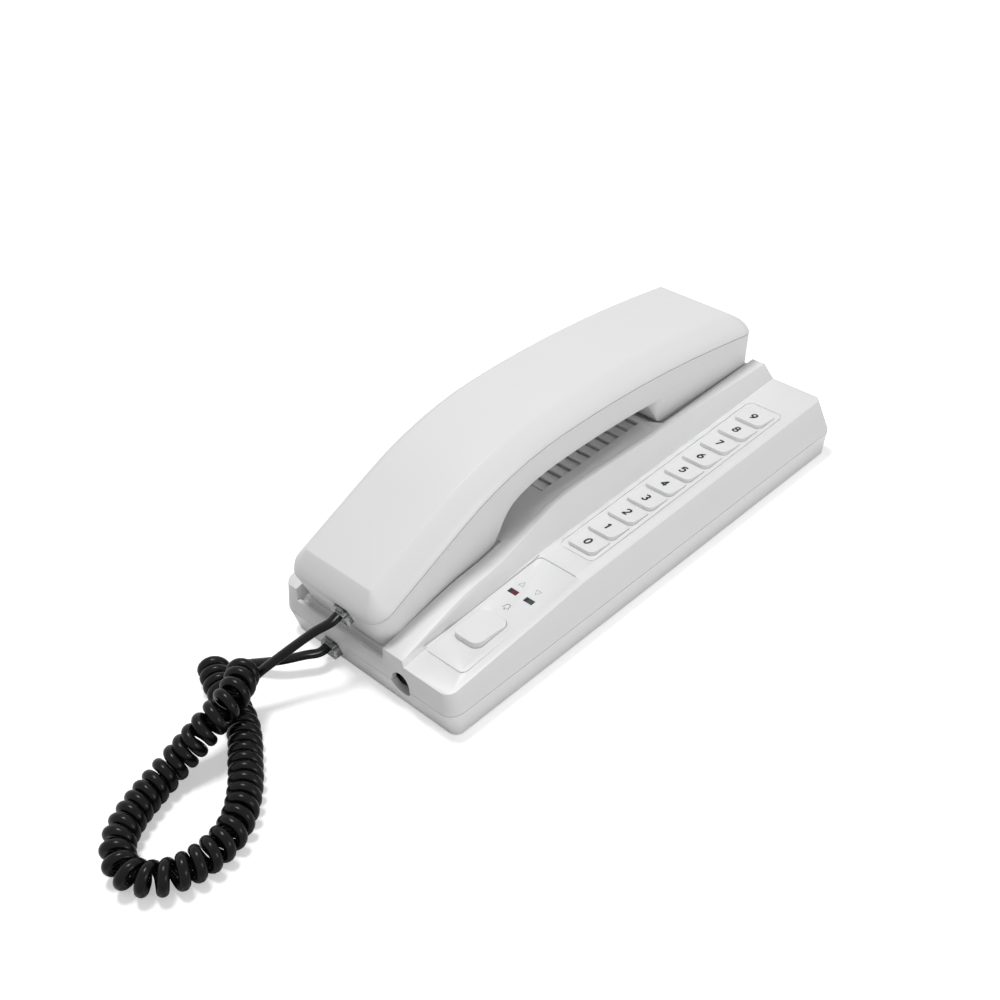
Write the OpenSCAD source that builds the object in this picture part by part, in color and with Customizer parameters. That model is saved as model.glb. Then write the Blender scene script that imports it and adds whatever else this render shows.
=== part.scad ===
// Slimline wall telephone: a long base with a row of keys, a handset that
// lies in a cradle beside them, and a curly cord between the two.
// +Z points out of the wall, +Y to the top end, +X to the keys.
// The origin is at the middle of the back, on the wall plane.

/* [Base] */
// Length of the back, from the cord end to the top end
base_len = 215; // [210:1:220]
// Width of the back
base_wid = 93.5; // [92:0.5:96]
// How far the sides lean out from the back to the seam
flare = 2.4; // [1.5:0.1:3]
// Height of the seam between the rear cover and the front housing
seam_z = 11.6; // [10.5:0.1:12.5]
// Open line left along the outside of each seam
reveal = 0.3; // [0.2:0.1:0.6]
// Wall thickness of the mouldings
wall = 2.2; // [1.8:0.1:2.4]
// Corner radius of the base at the seam
corner_r = 6; // [5:0.5:8]
// How far the rubber feet stand out of the back
foot_out = 0.3; // [0.3:0.1:0.6]

/* [Keys] */
// Number of digit keys in the row
key_count = 10; // [2:1:10]
// Distance from one key to the next
key_pitch = 11; // [10.8:0.1:11.4]
// Width of a key, across the row
key_wid = 13.4; // [12:0.1:14]
// Length of a key, along the row
key_len = 9.9; // [9.4:0.1:10]
// How far a digit key goes down
key_travel = 1.2; // [0.8:0.1:1.2]
// How far the call button goes down
call_travel = 1.5; // [1:0.1:1.6]

/* [Handset] */
// Half the width of the flat top of the handset
grip_top = 19.25; // [18:0.25:20]
// Half the width of the handset at its seam
grip_half = 27; // [26.5:0.1:27.2]
// Depth of the upper shell
shell_drop = 7.8; // [7.4:0.1:8.2]
// Thickness of the grip
grip_depth = 20; // [18:0.5:21]
// Play between the handset and its cradle
play = 0.3; // [0.3:0.05:0.4]

/* [Cord] */
// Thickness of the cord
cord_d = 3.95; // [3.75:0.05:3.95]
// Radius of the curls, to the middle of the cord
curl_r = 4.5; // [4.2:0.1:4.5]
// Distance between curls on the inner side of a bend
curl_pitch = 4.5; // [4.5:0.05:4.9]

/* [Hidden] */
$fn = 48;

white = [0.93, 0.93, 0.92];
grey = [0.55, 0.56, 0.58];
black = [0.05, 0.05, 0.05];
steel = [0.75, 0.76, 0.78];
green = [0.1, 0.35, 0.2];
clear = [0.85, 0.87, 0.9];

draft = 0.17;            // lean of the front housing's sides, per mm of height
draft_end = 0.29;        // lean of its top end
far = 130;               // beyond either end of the object
hx = base_wid / 2;
hy = base_len / 2;

// Heights of the deck along Y: a sloping lower part and a nearly level keypad part
deck_low = [-108, 21.3];
deck_break = [-37.5, 26.3];
deck_high = [108, 28.0];
function along(a, b, y) = a[1] + (b[1] - a[1]) * (y - a[0]) / (b[0] - a[0]);
function deck(y) = y < deck_break[0] ? along(deck_low, deck_break, y) : along(deck_break, deck_high, y);

// The call section is a flatter plate let into the sloping part
plate_low = [-97.5, 22.6];
plate_high = [-37.5, 25.6];
plate_x = [22.8, 43.6];
function plate(y) = along(plate_low, plate_high, y);

// Cradle: its middle line, and the ridge line on either side of it
cradle_x = -13.85;
cradle_half = 25.5;
cradle_foot = 18.5;
cradle_draft = 0.03;
ridge_pts = [
    [-130, 20], [-110, 23.3], [-90, 27.3], [-72, 30.5], [-55, 32], [-38, 35.2], [-20, 38.8],
    [0, 39.2], [35, 37.8], [70, 36.8], [110, 35.2], [130, 34.4]
];

// The two faces of the handset that lie in the cradle
mouth_tilt = 13.3;
mouth_edge = [-104.5, 19];
function mouth_face(y) = mouth_edge[1] + tan(mouth_tilt) * (y - mouth_edge[0]);
ear_edge = [47, 34.6];
ear_slope = -0.066;
function ear_face(y) = ear_edge[1] + ear_slope * (y - ear_edge[0]);

// Handset arch: two arcs that meet level at the crown, and straight ends
crown = [-10, 70.4];
arc_a = 150;
tilt_a = 22;
arc_b = 480;
tilt_b = 10.8;
// Ends of the handset past the arcs, at the top face, the seam and 40 mm down
end_a = [40.8, 49.6, 51.9];
end_b = [17.9, 27, 30];
shell_deep = 40;
side_lean = 0.12;        // lean of the lower shell's sides

// Smooth curve through points
function blend4(a, b, c, d, t) =
    0.5 * (2 * b + (c - a) * t + (2 * a - 5 * b + 4 * c - d) * t * t + (3 * b - a - 3 * c + d) * t * t * t);
function smooth(p, n) = concat(
    [for (i = [0:len(p) - 2], k = [0:n - 1])
        blend4(p[max(i - 1, 0)], p[i], p[i + 1], p[min(i + 2, len(p) - 1)], k / n)],
    [p[len(p) - 1]]);

// ---------- general shapes ----------

// Rounded rectangle with exact arcs
module round_rect(w, l, r) {
    square([w - 2 * r, l], center = true);
    square([w, l - 2 * r], center = true);
    for (x = [-1, 1], y = [-1, 1])
        translate([x * (w / 2 - r), y * (l / 2 - r)]) circle(r);
}

// Rectangle whose two lower corners have one radius and its two upper ones another
module tab(w, l, low_r, high_r) {
    translate([-w / 2, low_r - l / 2]) square([w, l - low_r - high_r]);
    translate([low_r - w / 2, -l / 2]) square([w - 2 * low_r, l / 2]);
    translate([high_r - w / 2, 0]) square([w - 2 * high_r, l / 2]);
    for (x = [-1, 1]) {
        translate([x * (w / 2 - low_r), low_r - l / 2]) circle(low_r);
        translate([x * (w / 2 - high_r), l / 2 - high_r]) circle(high_r);
    }
}

// Block with round corners whose sides lean; the top end may lean by another amount
module drafted_block(half_x, half_y, r, z0, z1, lean, lean_end) {
    grow = lean * (z1 - z0);
    grow_end = lean_end * (z1 - z0);
    hull()
        for (x = [-1, 1], y = [-1, 1]) {
            translate([x * (half_x - r), y * (half_y - r), z0]) cylinder(h = 0.01, r = r, $fn = 32);
            translate([x * (half_x - r), y * (half_y - r) + (y > 0 ? grow_end - grow : 0), z1 - 0.01])
                cylinder(h = 0.01, r = r + grow, $fn = 32);
        }
}

// A YZ outline carried along X, and an XZ outline carried along Y
module along_x(x0, x1) {
    translate([x0, 0, 0]) rotate([90, 0, 90]) linear_extrude(x1 - x0) children();
}
module along_y(y0, y1) {
    translate([0, y1, 0]) rotate([90, 0, 0]) linear_extrude(y1 - y0) children();
}

// Tube of round section swept along points; each ring has its own two directions
function unit(v) = v / norm(v);
function square_to(v, t) = unit(v - t * (v * t));
module tube(pts, sides, r, side_dirs) {
    n = len(pts);
    tan_at = [for (i = [0:n - 1]) unit(pts[min(i + 1, n - 1)] - pts[max(i - 1, 0)])];
    rings = [for (i = [0:n - 1])
        let (u = square_to(side_dirs[i], tan_at[i]), w = cross(tan_at[i], u))
        for (k = [0:sides - 1]) pts[i] + r * (cos(360 * k / sides) * u + sin(360 * k / sides) * w)];
    skin = [for (i = [0:n - 2], k = [0:sides - 1])
        let (a = i * sides + k, b = i * sides + (k + 1) % sides)
        for (f = [[a, b + sides, b], [a, a + sides, b + sides]]) f];
    start = [for (k = [1:sides - 2]) [0, k, k + 1]];
    end = [for (k = [1:sides - 2]) let (e = (n - 1) * sides) [e, e + k + 1, e + k]];
    polyhedron(concat(rings, []), concat(skin, start, end), convexity = 10);
}

// ---------- base ----------

module ridge_yz(inset) {
    line = smooth(ridge_pts, 4);
    polygon(concat([[-far, 0]], [for (p = line) [p[0], p[1] - inset]], [[far, 0]]));
}
module deck_yz(inset) {
    polygon([[-far, 0], [-far, deck(-far) - inset], [deck_break[0], deck_break[1] - inset],
        [far, deck(far) - inset], [far, 0]]);
}
// The outer flank of the ridge, which drops to the deck
flank_x = 21.5;
flank_lean = 0.36;
flank_z = 27;
module flank_xz(inset) {
    polygon([[-60, 0], [-60, 60], [flank_x - inset - flank_lean * (60 - flank_z), 60],
        [flank_x - inset + flank_lean * flank_z, 0]]);
}
module cradle_xz(inset) {
    low = cradle_half + inset - cradle_draft * cradle_foot;
    high = low + cradle_draft * 60;
    polygon([[cradle_x - low, 0], [cradle_x + low, 0], [cradle_x + high, 60], [cradle_x - high, 60]]);
}
// Past the handset's ear end the cradle is narrower, with flanks at 45 degrees
cradle_end = 104.4;
module cradle_mouth_xz(inset) {
    low = 20.4 + inset;
    polygon([[cradle_x - low, 0], [cradle_x + low, 0], [cradle_x + low, 30.6], [cradle_x + low + 4.4, 35],
        [cradle_x + low + 8, 36.6], [cradle_x + low + 8, 60], [cradle_x - low - 8, 60], [cradle_x - low - 8, 36.6],
        [cradle_x - low - 4.4, 35], [cradle_x - low, 30.6]]);
}
// Floor of the cradle: front lip, mouthpiece seat, the hump under the grip, earpiece seat
hump_z = 37.7;
floor_pts = concat(
    [[-far, 18.5], [-107.4, 18.5], [-106.4, 17.3], [-105.4, 17.3], [-104.7, mouth_face(-104.7) - play]],
    [for (p = smooth([[-53, mouth_face(-53) - play], [-46, 32.3], [-38, 34.4], [-28, 36.6], [-18, hump_z],
        [-8, hump_z]], 3)) p],
    [[39, hump_z], [41, 37.2], [43.4, 35], [46, ear_face(46) - play], [far, ear_face(far) - play]]);
module cradle_yz(inset) {
    polygon(concat([for (p = floor_pts) [p[0], p[1] - inset]], [[far, 90], [-far, 90]]));
}
// Solid form of the front housing; the cavity is the same form, drawn in
module housing_form(inset, z0) {
    difference() {
        intersection() {
            drafted_block(hx + flare - inset, hy + flare - inset, corner_r - min(inset, 0.8), z0, 39.8, -draft, -draft_end);
            union() {
                along_x(-60, 60) deck_yz(inset);
                intersection() {
                    along_x(-60, 60) ridge_yz(inset);
                    along_y(-far, far) flank_xz(inset);
                }
            }
        }
        intersection() {
            along_x(-60, 60) cradle_yz(inset);
            union() {
                along_y(-far, cradle_end + inset) cradle_xz(inset);
                along_y(-far, far) cradle_mouth_xz(inset);
            }
        }
    }
}

// Windows in the deck
key_x = 32.6;
key_y0 = -21.05;
function key_y(i) = key_y0 + i * key_pitch;
key_gap = 0.2;
row_len = (key_count - 1) * key_pitch + key_len;
row_y = key_y0 + (key_count - 1) * key_pitch / 2;
call_x = 32.6;
call_y = -78;
call_wid = 13.4;
call_len = 17.4;
call_r = 3.6;
led_y = -57;
led_x = [28.2, 36.6];
led_size = [4.4, 2.2];
frame_groove = 0.4;

// Louvres in the hump: slats that slope up to the cord end, with a slot at the foot of each
slot_count = 11;
slot_pitch = 5.5;
slot_wid = 0.9;
slot_len = 41;
slot_y0 = -18;
slat_drop = [0.45, 1.35];
module louvres() {
    first = slot_y0 + slot_wid / 2;
    last = first + (slot_count - 1) * slot_pitch;
    translate([cradle_x, 0, 0]) {
        along_x(-slot_len / 2, slot_len / 2) polygon(concat([[first, hump_z + 6]],
            [for (i = [0:slot_count - 2]) for (p = [[first + i * slot_pitch, hump_z - slat_drop[0]],
                [first + (i + 1) * slot_pitch, hump_z - slat_drop[1]]]) p],
            [[last, hump_z + 6]]));
        for (i = [0:slot_count - 1]) translate([-slot_len / 2, first + i * slot_pitch - slot_wid, hump_z - 6])
            cube([slot_len, slot_wid, 12]);
    }
}

// Screw posts, jacks and the hook switch
screw_at = [[-34, -92], [38, -98], [-34, 94], [38, 97]];
screw_r = 1.5;
post_r = 3.6;
post_z = seam_z + reveal;
head_r = 2.9;
head_z = 3.4;
dc_at = [21.3, 12.2];
dc_r = 5.1;
jack_x = -20;
hook_y = 95;
plunger_r = 3.95;
plunger_bore = 4;
hook_floor = ear_face(hook_y) - play;
guide_in = 6;
guide_out = 7.6;
guide_low = 20;
speaker_y = slot_y0 + (slot_count - 1) * slot_pitch / 2;
speaker_r = 25;

module front_housing() {
    color(white) difference() {
        union() {
            difference() {
                housing_form(0, post_z);
                housing_form(wall, post_z - 1);
            }
            // screw posts and the plunger's guide tube, cut off inside the top
            intersection() {
                housing_form(wall / 2, post_z);
                union() {
                    for (p = screw_at) translate([p[0], p[1], post_z]) cylinder(r = post_r, h = 30);
                    translate([cradle_x, hook_y, guide_low]) cylinder(r = guide_out, h = 20);
                    // fence that centres the ringer behind the slots
                    translate([cradle_x, speaker_y, hump_z - wall - 3]) difference() {
                        cylinder(r = speaker_r + 2, h = 4);
                        translate([0, 0, -1]) cylinder(r = speaker_r + 0.2, h = 6);
                    }
                }
            }
            call_plate();
            shoulders();
        }
        call_recess();
        plate_groove();
        for (p = screw_at) translate([p[0], p[1], 0]) cylinder(r = screw_r - 0.1, h = post_z + 6);
        // plunger bore, and the wider guide under it
        translate([cradle_x, hook_y, 0]) cylinder(r = plunger_bore, h = 60);
        translate([cradle_x, hook_y, 0]) cylinder(r = guide_in, h = hook_floor - wall);
        // a window for each key, with the line of the row's frame round them
        for (i = [0:key_count - 1]) translate([key_x, key_y(i), 10]) linear_extrude(30)
            tab(key_wid + 2 * key_gap, key_len + 2 * key_gap, key_r + key_gap, 0.8 + key_gap);
        intersection() {
            translate([key_x, row_y + 0.6, 10]) linear_extrude(30) difference() {
                round_rect(key_wid + 4.6, row_len + 6, 3);
                round_rect(key_wid + 3.9, row_len + 5.3, 2.65);
            }
            translate([0, 0, deck(0) - frame_groove]) rotate([atan(draft_keys()), 0, 0])
                translate([0, -far, 0]) cube([60, 2 * far, 20]);
        }
        translate([call_x, call_y, 10]) linear_extrude(30)
            round_rect(call_wid + 2 * key_gap, call_len + 2 * key_gap, call_r + key_gap);
        for (x = led_x) translate([x, led_y, 25]) cube([led_size[0] + 0.1, led_size[1] + 0.1, 20], center = true);
        louvres();
        power_hole();
    }
}
function draft_keys() = (deck_high[1] - deck_break[1]) / (deck_high[0] - deck_break[0]);

// The raised wedge of the call section
module call_plate() {
    intersection() {
        along_x(plate_x[0], plate_x[1]) polygon([[-97.5, 20.1], [-97.5, plate(-97.5)],
            [-50, plate(-50)], [-50, 23.4]]);
        translate([(plate_x[0] + plate_x[1]) / 2, -67.5, 10]) linear_extrude(30)
            round_rect(plate_x[1] - plate_x[0], 60, 2.5);
    }
}
// The part of the plate that lies below the deck
module call_recess() {
    difference() {
        intersection() {
            along_x(plate_x[0], plate_x[1]) polygon([[-97.5, plate(-97.5)], [-37.5, plate(-37.5)],
                [-37.5, 29], [-97.5, 29]]);
            translate([(plate_x[0] + plate_x[1]) / 2, -67.5, 10]) linear_extrude(30)
                round_rect(plate_x[1] - plate_x[0], 60, 2.5);
        }
        along_y(-far, far) flank_xz(0);
    }
}
// Fine groove between the plate and the flank of the ridge
module plate_groove() {
    along_x(plate_x[0] - 0.45, plate_x[0] + 0.05) polygon([[-97.5, plate(-97.5) - 0.45],
        [-37.5, plate(-37.5) - 0.45], [-37.5, 31], [-97.5, 31]]);
}
// Soft shoulders that rise from the louvred hump to the ridges
shoulder_at = [[-46, 31.9], [-38, 34.4], [-28, 36.6], [-18, 37.7], [39, 37.7], [43.4, 35]];
module shoulders() {
    foot = slot_len / 2 + 0.3;
    edge = cradle_half + 2.8;
    intersection() {
        along_x(-60, 60) ridge_yz(0);
        translate([cradle_x, 0, 0]) for (s = [0, 1]) mirror([s, 0, 0])
            skin([for (p = shoulder_at) [for (q = [[foot, -0.6], [edge, -0.6], [edge, 2.55], [foot, -0.05]])
                [q[0], p[0], p[1] + q[1]]]]);
    }
}
module power_hole() {
    translate([dc_at[0], -hy - 10, dc_at[1]]) rotate([-90, 0, 0]) cylinder(r = dc_r, h = 16);
}

// Keyhole slots for two wall screws
keyhole_y = 50;
keyhole_r = 4.25;
keyhole_slot = 2.2;
keyhole_run = 8;
plug_wid = 7.6;
plug_high = 6.4;
base_plug_z = 6.8;
cover_floor = 2.4;
jack_len = 14;
board_z = 12.4;
board_t = 1.6;
board_x = [19.5, 43.4];
board_y = [-88, 90];
board_posts = [[23, -60], [41, -60], [23, 88], [41, 0], [23, 0], [41, 84]];
dc_low = dc_at[1] - 4.6;
lip_x = hx + flare - wall - 1.6;
lip_y = hy + flare - wall - 1.6;

// Flat rubber feet stuck into shallow pockets in the back
foot_at = [[-36, -78], [36, -78], [-36, 78], [36, 78]];
foot_wid = 12;
foot_thick = foot_out + 1;
module rubber_feet() {
    color(grey) for (p = foot_at) translate([p[0] - foot_wid / 2, p[1] - foot_wid / 2, 0])
        cube([foot_wid, foot_wid, foot_thick]);
}

module rear_cover() {
    color(white) difference() {
        union() {
            difference() {
                drafted_block(hx, hy, corner_r - flare, foot_out, seam_z, flare / (seam_z - foot_out), flare / (seam_z - foot_out));
                drafted_block(hx - wall, hy - wall, corner_r - flare - 0.6, cover_floor, seam_z + 1, flare / seam_z, flare / seam_z);
            }
            // inner lip that the front housing closes over
            difference() {
                translate([0, 0, cover_floor - 0.2]) linear_extrude(seam_z + 2.6 - cover_floor)
                    round_rect(2 * lip_x, 2 * lip_y, 3.4);
                linear_extrude(seam_z + 4) round_rect(2 * lip_x - 2.4, 2 * lip_y - 2.4, 2.6);
                // broken where the jacks and the slanting walls pass
                translate([-60, -hy - 5, cover_floor]) cube([120, 20, 20]);
            }
            for (p = screw_at) translate([p[0], p[1], 0]) cylinder(r = post_r, h = post_z);
            for (p = board_posts) translate([p[0], p[1], 1]) cylinder(r = 2.5, h = board_z - 1);
            // pedestals under the power jack and the hook switch
            translate([dc_at[0] - 4.5, -hy + 1.5, 1]) cube([9, 13, dc_low - 1]);
            translate([cradle_x - 8, hook_y - 4, 1]) cube([16, 8, 6]);
            // cross ribs that stiffen the back
            for (y = [-60, -20, 20]) translate([-hx + 1, y - 0.8, 1]) cube([60, 1.6, 5]);
        }
        for (p = screw_at) translate([p[0], p[1], -1]) {
            cylinder(r = screw_r + 0.1, h = 20);
            cylinder(r = head_r + 0.2, h = head_z + 1);
        }
        for (y = [-keyhole_y, keyhole_y]) translate([0, y, -1]) {
            cylinder(r = keyhole_r, h = 8);
            translate([0, keyhole_run, 0]) cylinder(r = keyhole_slot, h = 8);
            translate([-keyhole_slot, 0, 0]) cube([2 * keyhole_slot, keyhole_run, 8]);
        }
        for (p = foot_at) translate([p[0] - foot_wid / 2 - 0.05, p[1] - foot_wid / 2 - 0.05, -1])
            cube([foot_wid + 0.1, foot_wid + 0.1, foot_thick + 1]);
        power_hole();
        // seat for the cord's jack
        translate([jack_x - 5.7, cover_end + wall + 0.6, base_plug_z - 4.6]) cube([11.4, jack_len + 0.2, 20]);
        // window for the cord's plug
        translate([jack_x - plug_wid / 2 - 0.2, -hy - 5, base_plug_z - plug_high / 2 - 0.2])
            cube([plug_wid + 0.4, 5 + wall + 0.6, plug_high + 0.4]);
    }
}

// Pan-head screw with a cross recess, head down
module screw(length) {
    difference() {
        union() {
            cylinder(r = head_r, h = 1.8);
            cylinder(r = screw_r - 0.15, h = length);
        }
        for (a = [0, 90]) rotate(a) translate([-1.6, -0.3, -0.5]) cube([3.2, 0.6, 1.5]);
    }
}
module housing_screws() {
    color(steel) for (p = screw_at) translate([p[0], p[1], head_z - 1.8]) screw(13);
}

module circuit_board() {
    color(green) difference() {
        translate([board_x[0], board_y[0], board_z]) cube([board_x[1] - board_x[0], board_y[1] - board_y[0], board_t]);
        for (x = [board_x[0], board_x[1]]) translate([x, -30, board_z - 1]) cylinder(r = 1.5, h = 4);
    }
    color(black) for (y = [-45, 25, 55]) translate([27, y, board_z - 2.5]) cube([9, 12, 2.5]);
}

// Rubber sheet with a collar for the stem of each key
mat_t = 2;
collar_high = 4.4;
call_collar = 3.4;
stem_r = 2;
stem_end = board_z + board_t + 1.7;
module rubber_mat(wid, len, collar, stems) {
    difference() {
        union() {
            translate([0, 0, board_z + board_t]) linear_extrude(mat_t) round_rect(wid, len, 2);
            for (p = stems) translate([p[0], p[1], board_z + board_t]) cylinder(r = 3.2, h = collar);
        }
        for (p = stems) translate([p[0], p[1], board_z]) cylinder(r = stem_r + 0.05, h = 20);
    }
}
module keypad_mat() {
    color(grey) translate([key_x, row_y, 0])
        rubber_mat(17, row_len + 2, collar_high, [for (i = [0:key_count - 1]) [0, key_y(i) - row_y]]);
}
module call_button_pad() {
    color(grey) translate([call_x, call_y, 0]) rubber_mat(15, 18, call_collar, [[0, -4.5], [0, 4.5]]);
}

// Key cap: high at its lower edge, almost flush at its upper edge
key_high = 1.7;
key_flush = 0.25;
key_r = 2.4;
cap_depth = 3.5;
module key(i) {
    y = key_y(i);
    z = deck(y);
    color(white) translate([key_x, y, z]) {
        intersection() {
            along_x(-key_wid / 2, key_wid / 2) polygon([[-key_len / 2, -cap_depth], [-key_len / 2, key_high],
                [key_len / 2, key_flush], [key_len / 2, -cap_depth]]);
            translate([0, 0, -10]) linear_extrude(20) tab(key_wid, key_len, key_r, 0.8);
        }
        translate([-key_wid / 2 - 1.2, -key_len / 2, -cap_depth]) cube([key_wid + 2.4, key_len, 0.9]);
        translate([0, 0, stem_end - z]) cylinder(r = stem_r, h = z - stem_end - 1);
    }
}
module key_0() { key(0); }
module key_1() { key(1); }
module key_2() { key(2); }
module key_3() { key(3); }
module key_4() { key(4); }
module key_5() { key(5); }
module key_6() { key(6); }
module key_7() { key(7); }
module key_8() { key(8); }
module key_9() { key(9); }

call_high = 2.2;
call_flush = 0.9;
module call_button() {
    z = plate(call_y);
    color(white) translate([call_x, call_y, 0]) {
        intersection() {
            translate([0, 0, z - 4]) linear_extrude(20) round_rect(call_wid, call_len, call_r);
            along_x(-call_wid / 2, call_wid / 2) polygon([[-call_len / 2, z - 4], [-call_len / 2, z + call_high],
                [call_len / 2, z + call_flush], [call_len / 2, z - 4]]);
        }
        translate([0, 0, z - 4.3]) linear_extrude(0.9) round_rect(call_wid + 2.2, call_len + 2.2, call_r);
        for (y = [-4.5, 4.5]) translate([0, y, stem_end]) cylinder(r = stem_r, h = z - 3.8 - stem_end);
    }
}

// Light bars that stand on the board and end flush in the plate
module led_bar(x, tint) {
    color(tint) translate([x, led_y, 0]) {
        translate([0, 0, (board_z + board_t + plate(led_y)) / 2])
            cube([led_size[0], led_size[1], plate(led_y) - board_z - board_t], center = true);
        translate([0, 0, board_z + board_t + 1.5]) cube([6, 4, 3], center = true);
    }
}
module led_transmit() { led_bar(led_x[0], [0.75, 0.05, 0.08]); }
module led_receive() { led_bar(led_x[1], [0.08, 0.2, 0.12]); }

// Moving-coil ringer, face up behind the slots
module ringer_speaker() {
    top = hump_z - wall;
    color(black) translate([cradle_x, speaker_y, top]) rotate([180, 0, 0]) {
        difference() {
            union() {
                cylinder(r = speaker_r, h = 1.6);
                cylinder(r1 = speaker_r - 1, r2 = 13, h = 7);
            }
            translate([0, 0, -0.5]) cylinder(r1 = speaker_r - 3, r2 = 10, h = 6);
        }
        cylinder(r = 5, h = 8);
        translate([0, 0, 7]) cylinder(r = 13, h = 6);
    }
}

// Hook plunger, held down by the earpiece: a button, a flange and a pin
flange_z = 24.2;
pin_r = 1.6;
switch_top = 14.6;
module hook_plunger() {
    color(white) translate([cradle_x, hook_y, 0]) {
        translate([0, 0, flange_z]) cylinder(r = plunger_r, h = hook_floor - flange_z - 0.8);
        translate([0, 0, hook_floor - 0.8]) cylinder(r1 = plunger_r, r2 = plunger_r - 0.8, h = 0.8);
        translate([0, 0, flange_z]) cylinder(r = guide_in - 0.4, h = 1.4);
        translate([0, 0, switch_top + 0.2]) cylinder(r = pin_r, h = flange_z - switch_top);
    }
}

// Compression spring round the pin
spring_wire = 0.8;
spring_r = 3.6;
spring_turns = 6;
module hook_spring() {
    z0 = switch_top + spring_wire / 2;
    z1 = flange_z - spring_wire / 2;
    steps = spring_turns * 8;
    at = [for (i = [0:steps]) [spring_r * cos(45 * i), spring_r * sin(45 * i), z0 + (z1 - z0) * i / steps]];
    out = [for (p = at) [p[0], p[1], 0]];
    color(steel) translate([cradle_x, hook_y, 0]) tube(at, 6, spring_wire / 2, out);
}

// Snap switch under the plunger
module hook_switch() {
    color(black) translate([cradle_x, hook_y, 0]) {
        translate([-6.5, -3.2, 7]) cube([13, 6.4, 6.6]);
        translate([0, 0, 13]) cylinder(r = 4.6, h = switch_top - 13);
    }
}

// Barrel jack for the power lead, with its centre pin
module dc_jack() {
    face = -hy + 1.6;
    color(black) translate([dc_at[0], face, dc_at[1]]) difference() {
        translate([-4.5, 0, -4.6]) cube([9, 12.4, 9.2]);
        rotate([-90, 0, 0]) translate([0, 0, -1]) cylinder(r = 3.1, h = 10.5);
    }
    color(steel) translate([dc_at[0], face + 1.5, dc_at[1]]) rotate([-90, 0, 0]) cylinder(r = 1, h = 8.5);
}

// Four-way modular jack: a box with a square throat
module cord_jack() {
    difference() {
        translate([-5.6, 0, -4.6]) cube([11.2, jack_len, 9.2]);
        translate([-plug_wid / 2 - 0.2, -1, -plug_high / 2]) cube([plug_wid + 0.4, jack_len - 0.5, plug_high + 0.4]);
    }
    for (x = [-1.5, -0.5, 0.5, 1.5]) translate([x - 0.15, jack_len - 7, plug_high / 2 - 0.1]) cube([0.3, 5, 0.6]);
}
// Modular plug: clear body, its latch below and a shoulder where the cord goes in
plug_in = 10;
plug_out = 3.6;
module cord_plug() {
    difference() {
        translate([-plug_wid / 2, -plug_out, -plug_high / 2]) cube([plug_wid, plug_out + plug_in, plug_high - 0.6]);
        for (x = [-1.5, -0.5, 0.5, 1.5]) translate([x - 0.2, plug_in - 5, plug_high / 2 - 1.8]) cube([0.4, 6, 2]);
    }
    translate([-1.6, -plug_out + 0.8, plug_high / 2 - 0.7]) cube([3.2, plug_out + 1.2, 0.9]);
}

cover_end = -hy - 0.9;       // outer face of the base at the plug's height
module base_cord_jack() {
    color(black) translate([jack_x, cover_end + wall + 0.7, base_plug_z]) cord_jack();
}
module base_plug() {
    color(clear) translate([jack_x, cover_end, base_plug_z]) cord_plug();
}

// ---------- handset ----------

// A point at depth d on an arc turned by t, and one past the arc's end
function on_arc(r, t, x, d) = [cradle_x + x, crown[0] - (r + d) * sin(t), crown[1] - r + (r + d) * cos(t)];
function past_arc(r, t, x, out, d) = on_arc(r, t, x, d) + out * sign(t) * [0, -cos(t), -sin(t)];

// A level is [depth below the top face, half width, tip of end a, tip of end b, tip radius]
function section(levels, r, t) = concat([for (l = levels) on_arc(r, t, -l[1], l[0])],
    [for (i = [len(levels) - 1:-1:0]) on_arc(r, t, levels[i][1], levels[i][0])]);
function tip_section(levels, which, r, t, a) = concat(
    [for (l = levels) past_arc(r, t, -l[1] + l[4] * (1 - cos(a)), l[which] - l[4] * (1 - sin(a)), l[0])],
    [for (i = [len(levels) - 1:-1:0]) let (l = levels[i])
        past_arc(r, t, l[1] - l[4] * (1 - cos(a)), l[which] - l[4] * (1 - sin(a)), l[0])]);
// One skin over a row of rings, closed level by level at both ends
module skin(rings) {
    n = len(rings[0]);
    last = (len(rings) - 1) * n;
    polyhedron([for (g = rings, p = g) p], concat(
        [for (i = [0:len(rings) - 2], k = [0:n - 1])
            [i * n + k, i * n + (k + 1) % n, (i + 1) * n + (k + 1) % n, (i + 1) * n + k]],
        [for (k = [0:n / 2 - 2]) [n - 1 - k, n - 2 - k, k + 1, k]],
        [for (k = [0:n / 2 - 2]) [last + k, last + k + 1, last + n - 2 - k, last + n - 1 - k]]), convexity = 6);
}
// The bar along its two arcs, and the whole bar with its round tips
arch_steps = 6;
function arch_rings(levels) = concat(
    [for (k = [arch_steps:-1:0]) section(levels, arc_a, tilt_a * k / arch_steps)],
    [for (k = [1:arch_steps]) section(levels, arc_b, -tilt_b * k / arch_steps)]);
module arch(levels) {
    skin(arch_rings(levels));
}
module bar(levels) {
    skin(concat(
        [for (a = [90:-15:0]) tip_section(levels, 2, arc_a, tilt_a, a)],
        arch_rings(levels),
        [for (a = [0:15:90]) tip_section(levels, 3, arc_b, -tilt_b, a)]));
}

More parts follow.
